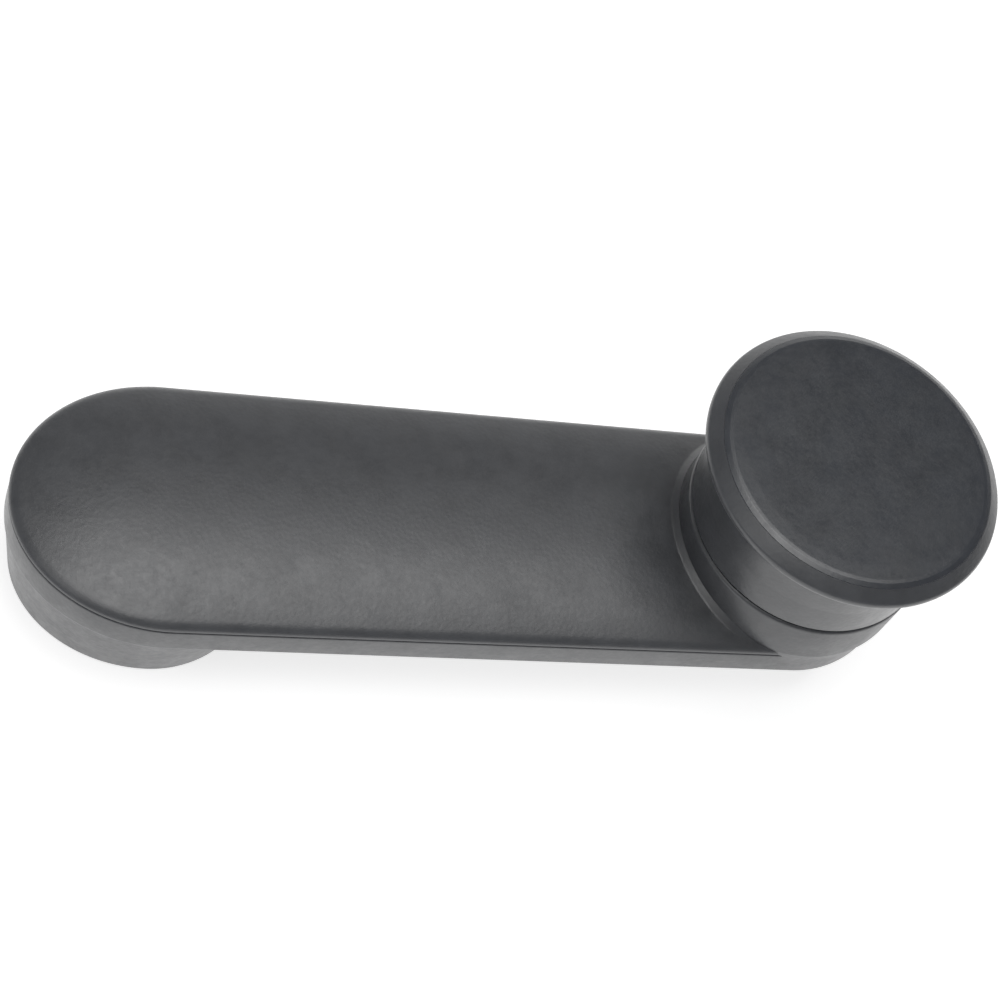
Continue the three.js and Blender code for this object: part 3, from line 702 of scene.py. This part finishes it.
def hub_spring_washer():
    """A split lock washer: one helical turn of square wire that stops short of closing."""
    bottom = corner("hub_spring_washer", 0, "z")
    inner, outer, thickness, rise = M6 + 0.3, 5.2, 0.8, 0.4
    section = ring_section(inner, outer, thickness, 0.12, 3)
    steps = 90
    sweep = math.radians(348)
    rings = []
    for i in range(steps + 1):
        angle = sweep * i / steps
        lift = bottom + rise * i / steps
        rings.append([(u * math.cos(angle), u * math.sin(angle), lift + v) for u, v in section])
    return skinned("hub_spring_washer_skin", rings)


def shoulder_screw():
    shoulder = BOSS_TOP + GAP
    head = corner("head_washer", 1, "z") + GAP
    undercut = M6 - 0.5
    body = [
        (0, shoulder - 1.2, 0),
        (undercut, shoulder - 1.2, 0),
        (undercut, shoulder, 0),
        (AXLE_RADIUS, shoulder, 0.15),
        (AXLE_RADIUS, head, 0),
        (AXLE_HEAD, head, 0.15),
        (AXLE_HEAD, SCREW_TOP, 0.4),
        (0, SCREW_TOP, 0),
    ]
    screw = turned("shoulder_screw_skin", rounded(body), THROW, 96)
    join(screw, thread("thread", THROW, M6 - 0.4, 0.4, STRAP_BOTTOM, shoulder - 1.0))
    hex_radius = 2.9
    cut(screw, disc("hex", hex_radius, head + 0.2, SCREW_TOP + PAST, THROW, 6))
    mouth = [
        (0, SCREW_TOP - 0.3),
        (hex_radius - 0.3, SCREW_TOP - 0.3),
        (hex_radius + 0.4, SCREW_TOP + 0.2),
        (0, SCREW_TOP + 0.2),
    ]
    return cut(screw, turned("mouth", mouth, THROW, 48))


def head_washer():
    low, high = corner("head_washer", 0, "z"), corner("head_washer", 1, "z")
    return washer("head_washer_skin", AXLE_RADIUS + GAP, 7.6, low, high, THROW)


def wave_washer():
    """A thin spring ring with three waves."""
    inner, outer, thickness = AXLE_RADIUS + GAP, 7.4, 0.3
    low, high = corner("wave_washer", 0, "z"), corner("wave_washer", 1, "z")
    wave = (high - low - thickness) / 2
    section = ring_section(inner, outer, thickness, 0.08, 2)
    waves = 3
    steps = 144
    rings = []
    for i in range(steps):
        angle = 2 * math.pi * i / steps
        lift = low + wave * (1 + math.cos(waves * angle))
        rings.append([(THROW + u * math.cos(angle), u * math.sin(angle), lift + v) for u, v in section])
    return skinned("wave_washer_skin", rings, closed_tube=True)


def strap_screw(name):
    """A countersunk screw driven upwards through the floor into the strap."""
    x = STRAP_SCREWS[name]
    bottom = corner(name, 0, "z")
    neck = FLOOR_TOP + 0.1
    body = [
        (0, bottom, 0),
        (STRAP_SCREW_HEAD, bottom, 0.05),
        (STRAP_SCREW_HEAD, bottom + 0.3, 0.1),
        (STRAP_SCREW_RADIUS, neck, 0),
        (STRAP_SCREW_RADIUS, neck + 0.2, 0),
        (0, neck + 0.2, 0),
    ]
    screw = turned(f"{name}_skin", rounded(body), x, 64)
    tip = corner(name, 1, "z")
    join(screw, thread("thread", x, STRAP_SCREW_RADIUS, 0.3, neck, tip, STRAP_SCREW_PITCH, 32))
    return cut(screw, cross_recess(3.4, 1.15, bottom, 1, x))


# ---------------------------------------------------------------- knob


def knob_shell():
    wall_inside = NECK_RADIUS - KNOB_WALL
    tube = 8.4
    tube_top = TUBE_TOP - 0.6
    web_bottom = FLANGE_BOTTOM + FLANGE_THICKNESS + GAP
    web_top = web_bottom + 2
    profile = [
        (KNOB_BORE, web_bottom, 0.2),
        (wall_inside, web_bottom, 0.6),
        (wall_inside, KNOB_BOTTOM, 0.3),
        (NECK_RADIUS, KNOB_BOTTOM, 0.25),
        (NECK_RADIUS - 0.15, KNOB_BOTTOM + 5, 6),
        (NECK_RADIUS - 0.05, HEAD_BOTTOM - 4.8, 8),
        (NECK_RADIUS + 0.5, HEAD_BOTTOM - 1.6, 2.5),
        (HEAD_RADIUS - 0.05, HEAD_BOTTOM, 0.6),
        (HEAD_RADIUS, HEAD_SHOULDER, 0.8),
        (CAP_RECESS, CAP_EDGE - 0.03, 0.03),
        (CAP_RECESS, CAP_SEAT, 0),
        (wall_inside, CAP_SEAT, 0.3),
        (wall_inside, web_top, 0.8),
        (tube, web_top, 0.5),
        (tube, tube_top, 0.2),
        (KNOB_BORE, tube_top, 0.2),
    ]
    return turned("knob_shell_skin", rounded(profile, 8, closed=True), THROW, 160)


def knob_bush():
    profile = [
        (BUSH_BORE, FLANGE_BOTTOM, 0.3),
        (BUSH_FLANGE, FLANGE_BOTTOM, 0.2),
        (BUSH_FLANGE, FLANGE_BOTTOM + FLANGE_THICKNESS, 0.2),
        (BUSH_TUBE, FLANGE_BOTTOM + FLANGE_THICKNESS, 0.15),
        (BUSH_TUBE, TUBE_TOP, 0.3),
        (BUSH_BORE, TUBE_TOP, 0.3),
    ]
    return turned("knob_bush_skin", rounded(profile, 4, closed=True), THROW, 96)


def knob_cap():
    skirt_outer = NECK_RADIUS - KNOB_WALL - GAP
    skirt_inner = skirt_outer - 1.4
    underside = CAP_SEAT + GAP
    skirt_bottom = CAP_SEAT - 2.2
    profile = [
        (0, underside, 0),
        (skirt_inner, underside, 0.4),
        (skirt_inner, skirt_bottom, 0.3),
        (skirt_outer, skirt_bottom, 0.4),
        (skirt_outer, underside, 0.1),
        (CAP_RADIUS, underside, 0.1),
        (CAP_RADIUS, CAP_EDGE, 0.04),
        (CAP_RADIUS - 0.65, CAP_EDGE + 0.27, 0.6),
        (CAP_RADIUS - 1.1, CAP_EDGE + 0.35, 1.5),
        (CAP_RADIUS - 3.0, CAP_EDGE + 0.42, 12),
        (CAP_RADIUS * 0.4, CAP_EDGE + 0.52, 40),
        (0, CAP_EDGE + 0.55, 0),
    ]
    return turned("knob_cap_skin", rounded(profile, 8), THROW, 160)


# ---------------------------------------------------------------- materials


def tinted(colour, factor, lift=0.0):
    """A colour made darker or lighter, as red, green, blue and alpha."""
    return tuple(min(1, factor * channel + lift) for channel in colour) + (1,)


class Shader:
    """Small helper for building a node tree in code."""

    def __init__(self, name):
        self.material = bpy.data.materials.new(name)
        self.material.use_nodes = True
        self.tree = self.material.node_tree
        self.surface = self.tree.nodes["Principled BSDF"]
        coordinates = self.tree.nodes.new("ShaderNodeTexCoord")
        self.place = coordinates.outputs["Object"]

    def node(self, kind, inputs=None, **settings):
        made = self.tree.nodes.new(kind)
        for key, value in settings.items():
            setattr(made, key, value)
        for key, value in (inputs or {}).items():
            self.set(made.inputs[key], value)
        return made

    def set(self, socket, value):
        if isinstance(value, bpy.types.NodeSocket):
            self.tree.links.new(value, socket)
        else:
            socket.default_value = value

    def noise(self, size, detail=2.0, roughness=0.5, stretch=None):
        """Noise with features about this many millimetres across."""
        place = self.place
        if stretch:
            place = self.node("ShaderNodeMapping", {"Vector": place, "Scale": stretch}).outputs["Vector"]
        inputs = {"Vector": place, "Scale": 1 / (size * MM), "Detail": detail, "Roughness": roughness}
        return self.node("ShaderNodeTexNoise", inputs).outputs["Fac"]

    def pebbles(self, size):
        inputs = {"Vector": self.place, "Scale": 1 / (size * MM), "Smoothness": 0.6}
        return self.node("ShaderNodeTexVoronoi", inputs, feature="SMOOTH_F1").outputs["Distance"]

    def convexity(self):
        return self.node("ShaderNodeAttribute", attribute_name="convexity").outputs["Fac"]

    def spread(self, value, low, high, from_low=0.0, from_high=1.0):
        made = self.node("ShaderNodeMapRange", {"Value": value, "From Min": from_low, "From Max": from_high,
                                                "To Min": low, "To Max": high})
        return made.outputs["Result"]

    def math(self, operation, first, second):
        return self.node("ShaderNodeMath", {0: first, 1: second}, operation=operation).outputs[0]

    def blend(self, share, first, second):
        inputs = {"Fac": share, "Color1": first, "Color2": second}
        return self.node("ShaderNodeMixRGB", inputs).outputs["Color"]

    def drive(self, socket, value):
        self.set(self.surface.inputs[socket], value)

    def patchy(self, patches, low, high):
        """Colour that goes from low to high with the patches of a noise."""
        return self.blend(self.spread(patches, 0, 1, 0.35, 0.65), low, high)

    def bump(self, height, depth, below=None):
        """Raises the surface by up to depth millimetres where height goes from 0 to 1."""
        inputs = {"Height": height, "Strength": 1.0, "Distance": depth * MM}
        if below is not None:
            inputs["Normal"] = below
        return self.node("ShaderNodeBump", inputs).outputs["Normal"]


def moulded_plastic(name, colour, roughness, grain=0.014, ior=1.45):
    """Grained charcoal moulding: pebbled grain, faint flow marks, and convex edges polished by handling and
    made lighter, partly as handling marks and partly as a painted highlight.
    """
    flow_swing = 0.045  # how much the flow marks change the roughness
    mottle_swing = 0.035
    polish = 0.08  # how much handling has taken off it
    least_roughness = 0.285
    waviness = 0.05  # of the moulded faces, in millimetres
    shade = Shader(name)
    patches = shade.noise(5.0, 3.0, 0.6)
    flow = shade.noise(3.6, 4.0, 0.6)
    tint = shade.patchy(patches, tinted(colour, 0.86), tinted(colour, 1.14))
    # Convex edges are made lighter: partly handling marks, partly a painted highlight along the edges.
    edge_breakup = shade.spread(shade.noise(1.6, 3.0, 0.6), 0.35, 1.0, 0.3, 0.7)
    convex_edges = shade.math("MULTIPLY", shade.convexity(), edge_breakup)
    shade.drive("Base Color", shade.blend(convex_edges, tint, tinted(colour, 1.5)))
    uneven = shade.spread(flow, roughness - flow_swing, roughness + flow_swing, 0.3, 0.7)
    mottle = shade.spread(shade.noise(0.9, 3.0, 0.7), -mottle_swing, mottle_swing, 0.3, 0.7)
    mottled = shade.math("ADD", uneven, mottle)
    smoother = shade.math("SUBTRACT", mottled, shade.math("MULTIPLY", convex_edges, polish))
    shade.drive("Roughness", shade.math("MAXIMUM", smoother, least_roughness))
    pebbled = shade.bump(shade.pebbles(0.62), grain)
    fine = shade.bump(shade.noise(0.22, 2.0, 0.6), 0.6 * grain, pebbled)
    shade.drive("Normal", shade.bump(shade.noise(7.0, 1.0), waviness, fine))
    shade.surface.inputs["IOR"].default_value = ior
    return shade.material


def plated_steel(name, colour, roughness, blotch=0.12):
    """Metal with crystalline or phosphated mottling, fine scratches and brighter rubbed edges."""
    polish = 0.1
    scratch_depth = 0.008
    along = (0.12, 1.0, 1.0)  # scratches run along the arm
    shade = Shader(name)
    patches = shade.noise(1.3, 4.0, 0.65)
    tint = shade.patchy(patches, tinted(colour, 1 - 2 * blotch), tinted(colour, 1 + blotch))
    edge_breakup = shade.spread(shade.noise(0.6, 3.0), 0.4, 1.0, 0.35, 0.65)
    convex_edges = shade.math("MULTIPLY", shade.convexity(), edge_breakup)
    shade.drive("Base Color", shade.blend(convex_edges, tint, tinted(colour, 1.35, 0.03)))
    shade.surface.inputs["Metallic"].default_value = 1.0
    scratches = shade.noise(0.5, 2.0, 0.5, stretch=along)
    uneven = shade.spread(patches, roughness - 0.08, roughness + 0.1, 0.3, 0.7)
    shade.drive("Roughness", shade.math("SUBTRACT", uneven, shade.math("MULTIPLY", convex_edges, polish)))
    scored = shade.bump(scratches, scratch_depth)
    shade.drive("Normal", shade.bump(shade.noise(0.35, 3.0, 0.6), scratch_depth, scored))
    return shade.material


def waxy_nylon(name, colour):
    """Unpainted nylon, which lets a little light in."""
    shade = Shader(name)
    patches = shade.noise(2.5, 3.0, 0.6)
    shade.drive("Base Color", shade.patchy(patches, tinted(colour, 0.9), tinted(colour, 1.06)))
    shade.drive("Roughness", shade.spread(shade.noise(0.8, 2.0), 0.36, 0.52, 0.3, 0.7))
    shade.surface.inputs["Subsurface Weight"].default_value = 0.15
    shade.surface.inputs["Subsurface Scale"].default_value = 1.0 * MM
    shade.drive("Normal", shade.bump(shade.noise(0.4, 2.0), 0.006))
    return shade.material


def mark_convexity(piece, radius=0.45):
    """Stores how sharply convex each vertex is, from 0 to 1, where 1 is an edge rounded to this radius in
    millimetres or less. The materials polish the surface there and make it lighter, partly as handling marks
    and, on the plastics, partly as a painted highlight."""
    made = bmesh.new()
    made.from_mesh(piece.data)
    layer = made.verts.layers.float.new("convexity")
    for vertex in made.verts:
        bend = sum(0.5 * edge.calc_face_angle_signed(0) * edge.calc_length() for edge in vertex.link_edges)
        area = sum(face.calc_area() / len(face.verts) for face in vertex.link_faces)
        vertex[layer] = min(max(bend / max(area, 1e-9) * radius, 0), 1)
    made.to_mesh(piece.data)
    made.free()


CHARCOAL = (0.0225, 0.0238, 0.0268)
CAP_CHARCOAL = (0.0105, 0.0123, 0.016)

MATERIALS = {
    "shell_plastic": moulded_plastic("grained_charcoal_housing", CHARCOAL, 0.43, ior=1.41),
    "cover_plastic": moulded_plastic("grained_charcoal_cover", CHARCOAL, 0.38),
    "knob_plastic": moulded_plastic("grained_charcoal_knob", CHARCOAL, 0.36, ior=1.41),
    "cap_plastic": moulded_plastic("grained_charcoal_cap", CAP_CHARCOAL, 0.34, 0.01),
    "zinc_steel": plated_steel("zinc_plated_steel", (0.62, 0.64, 0.66), 0.32),
    "dark_steel": plated_steel("phosphated_steel", (0.16, 0.165, 0.17), 0.5, 0.2),
    "spring_steel": plated_steel("blued_spring_steel", (0.1, 0.11, 0.13), 0.36, 0.25),
    "nylon": waxy_nylon("natural_nylon", (0.72, 0.69, 0.61)),
}

# ---------------------------------------------------------------- assembly

PIECES = [
    # CAD node, how it is made, body, material slot
    ("lower_shell", lower_shell, "arm", "shell_plastic"),
    ("top_cover", top_cover, "cover", "cover_plastic"),
    ("arm_core", arm_core, "arm", "zinc_steel"),
    ("spline_bush", spline_bush, "arm", "dark_steel"),
    ("hub_washer", hub_washer, "arm", "zinc_steel"),
    ("hub_spring_washer", hub_spring_washer, "arm", "spring_steel"),
    ("hub_screw", hub_screw, "arm", "zinc_steel"),
    ("threaded_boss", threaded_boss, "arm", "dark_steel"),
    ("strap_screw_hub", lambda: strap_screw("strap_screw_hub"), "arm", "dark_steel"),
    ("strap_screw_knob", lambda: strap_screw("strap_screw_knob"), "arm", "dark_steel"),
    ("wave_washer", wave_washer, "arm", "spring_steel"),
    ("shoulder_screw", shoulder_screw, "arm", "zinc_steel"),
    ("head_washer", head_washer, "arm", "zinc_steel"),
    ("knob_bush", knob_bush, "knob", "nylon"),
    ("knob_shell", knob_shell, "knob", "knob_plastic"),
    ("knob_cap", knob_cap, "knob", "cap_plastic"),
]

SHARP_ANGLE = math.radians(32)

for node, make, body, slot in PIECES:
    piece = make()
    mark_convexity(piece)
    piece.data.transform(Matrix.Scale(MM, 4))
    piece.data.shade_smooth()
    piece.data.set_sharp_from_angle(angle=SHARP_ANGLE)
    piece.data.materials.clear()
    piece.data.materials.append(MATERIALS[slot])
    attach(piece, body)
    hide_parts(node)

# ---------------------------------------------------------------- floor, light and camera


def pale_floor():
    size = 3.0
    drop = 0.2 * MM  # just below the hub's back, so that the two don't meet
    made = bmesh.new()
    bmesh.ops.create_grid(made, x_segments=8, y_segments=8, size=size)
    bmesh.ops.translate(made, vec=(0, 0, -drop), verts=made.verts)
    mesh = bpy.data.meshes.new("floor")
    made.to_mesh(mesh)
    made.free()
    floor = bpy.data.objects.new("floor", mesh)
    bpy.context.scene.collection.objects.link(floor)
    shade = Shader("pale_floor")
    tint = shade.blend(shade.noise(40.0), (0.9, 0.9, 0.9, 1), (0.93, 0.93, 0.93, 1))
    shade.drive("Base Color", tint)
    shade.surface.inputs["Roughness"].default_value = 0.9
    shade.surface.inputs["Emission Color"].default_value = (1, 1, 1, 1)
    shade.surface.inputs["Emission Strength"].default_value = FLOOR_GLOW
    mesh.materials.append(shade.material)


def softbox(name, place, aim, size, power):
    """A rectangular area light: place, aim and size in metres, power in watts."""
    data = bpy.data.lights.new(name, "AREA")
    data.shape = "RECTANGLE"
    data.size, data.size_y = size
    data.energy = power
    light = bpy.data.objects.new(name, data)
    light.location = place
    light.rotation_euler = (Vector(aim) - Vector(place)).to_track_quat("-Z", "Y").to_euler()
    bpy.context.scene.collection.objects.link(light)


FLOOR_GLOW = 0.68
WORLD_GLOW = 0.1
MIDDLE = (THROW / 2 * MM, 0, 0)

pale_floor()
softbox("overhead_softbox", (0.07, -0.03, 1.0), MIDDLE, (0.98, 0.48), 4.7)
softbox("bright_softbox", (-0.04, 0.13, 1.0), MIDDLE, (0.36, 0.3), 1.1)
softbox("left_softbox", (-0.6, -0.35, 0.75), MIDDLE, (0.5, 0.5), 0.8)
softbox("back_softbox", (0.3, 1.1, 0.3), MIDDLE, (0.9, 0.4), 1.0)

world = bpy.data.worlds.new("studio")
world.use_nodes = True
world.node_tree.nodes["Background"].inputs["Color"].default_value = (1, 1, 1, 1)
world.node_tree.nodes["Background"].inputs["Strength"].default_value = WORLD_GLOW
bpy.context.scene.world = world

CAMERA_PLACE = Vector((-0.0787864, -0.1801008, 0.339944))
CAMERA_AIM = Vector((0.052756, 0.0140272, 0.0))
CAMERA_ROLL = math.radians(-6.54)
LENS = 104.147

forward = (CAMERA_AIM - CAMERA_PLACE).normalized()
level_right = forward.cross(Vector((0, 1, 0))).normalized()
level_up = level_right.cross(forward)
right = math.cos(CAMERA_ROLL) * level_right + math.sin(CAMERA_ROLL) * level_up
up = math.cos(CAMERA_ROLL) * level_up - math.sin(CAMERA_ROLL) * level_right
lens = bpy.data.cameras.new("camera")
lens.lens = LENS
lens.sensor_width = 36.0
lens.clip_start = 0.01
camera = bpy.data.objects.new("camera", lens)
camera.matrix_world = Matrix((right, up, -forward)).transposed().to_4x4()
camera.location = CAMERA_PLACE
bpy.context.scene.collection.objects.link(camera)
bpy.context.scene.camera = camera
bpy.context.scene.view_settings.view_transform = "Standard"
bpy.context.scene.view_settings.gamma = 1.4
